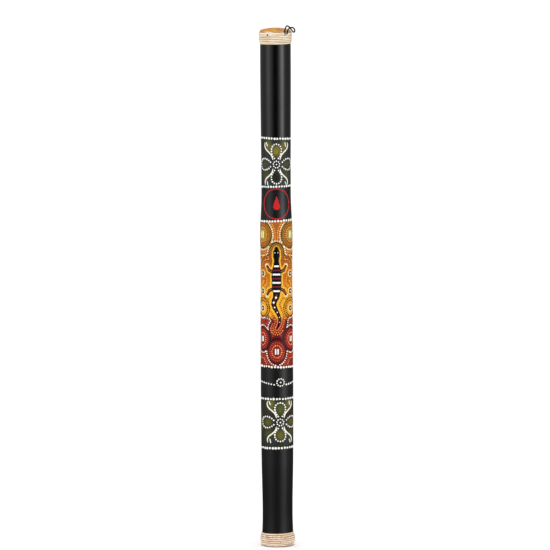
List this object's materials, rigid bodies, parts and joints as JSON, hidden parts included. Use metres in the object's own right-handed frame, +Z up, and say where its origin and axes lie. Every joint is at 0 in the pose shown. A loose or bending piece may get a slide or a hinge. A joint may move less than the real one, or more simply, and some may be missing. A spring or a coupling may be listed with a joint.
{
  "type": "rainstick",
  "caption": "Long round bamboo shaker, painted black with bands of dot art, with cane-bound ends, a domed cap, inner pegs and falling pebbles.",
  "frame": {"origin": "centre of the flat base that the stick stands on", "axes": "+Z up along the tube's axis, towards the domed cap; the painted front faces -Y; +X is to the right seen from the front"},
  "size_m": [0.0723, 0.068, 1.0053],
  "materials": {
    "painted_bamboo": "satin black paint over bamboo",
    "cane": "pale peeled cane, waxed",
    "cap_amber": "amber stained wood, satin",
    "cap_wood": "stained wood, satin",
    "plug_wood": "turned raw wood",
    "peg_bamboo": "split bamboo",
    "pebble": "worn river pebble",
    "tack_metal": "browned tack head",
    "cord": "braided black cord",
    "paint_white": "raised white dot paint",
    "paint_black": "raised black paint",
    "paint_amber": "amber paint ground",
    "paint_yellow": "yellow dot paint",
    "paint_red": "red paint",
    "paint_salmon": "salmon dot paint",
    "paint_olive": "olive paint"
  },
  "bodies": {
    "stick": {"bamboo_tube": "painted_bamboo", "bottom_plug": "plug_wood", "top_plug": "plug_wood", "bottom_cap": "cap_wood", "top_cap": "cap_amber", "bottom_binding": "cane", "top_binding": "cane", "bottom_tacks": "tack_metal", "top_tacks": "tack_metal", "hanging_loop": "cord", "peg_row_1": "peg_bamboo", "peg_row_2": "peg_bamboo", "peg_row_3": "peg_bamboo", "peg_row_4": "peg_bamboo", "peg_row_5": "peg_bamboo", "peg_row_6": "peg_bamboo", "peg_row_7": "peg_bamboo", "peg_row_8": "peg_bamboo"},
    "grains_1": {"pebbles_1": "pebble"},
    "grains_2": {"pebbles_2": "pebble"},
    "grains_3": {"pebbles_3": "pebble"},
    "grains_4": {"pebbles_4": "pebble"},
    "grains_5": {"pebbles_5": "pebble"},
    "grains_6": {"pebbles_6": "pebble"},
    "grains_7": {"pebbles_7": "pebble"},
    "grains_8": {"pebbles_8": "pebble"}
  },
  "joints": [
    {"name": "fall_1", "type": "slide", "parent": "stick", "child": "grains_1", "axis": [0, 0, 1], "range_m": [0, 0.904]},
    {"name": "fall_2", "type": "slide", "parent": "stick", "child": "grains_2", "axis": [0, 0, 1], "range_m": [0, 0.904]},
    {"name": "fall_3", "type": "slide", "parent": "stick", "child": "grains_3", "axis": [0, 0, 1], "range_m": [0, 0.904]},
    {"name": "fall_4", "type": "slide", "parent": "stick", "child": "grains_4", "axis": [0, 0, 1], "range_m": [0, 0.904]},
    {"name": "fall_5", "type": "slide", "parent": "stick", "child": "grains_5", "axis": [0, 0, 1], "range_m": [0, 0.904]},
    {"name": "fall_6", "type": "slide", "parent": "stick", "child": "grains_6", "axis": [0, 0, 1], "range_m": [0, 0.904]},
    {"name": "fall_7", "type": "slide", "parent": "stick", "child": "grains_7", "axis": [0, 0, 1], "range_m": [0, 0.904]},
    {"name": "fall_8", "type": "slide", "parent": "stick", "child": "grains_8", "axis": [0, 0, 1], "range_m": [0, 0.904]}
  ]
}
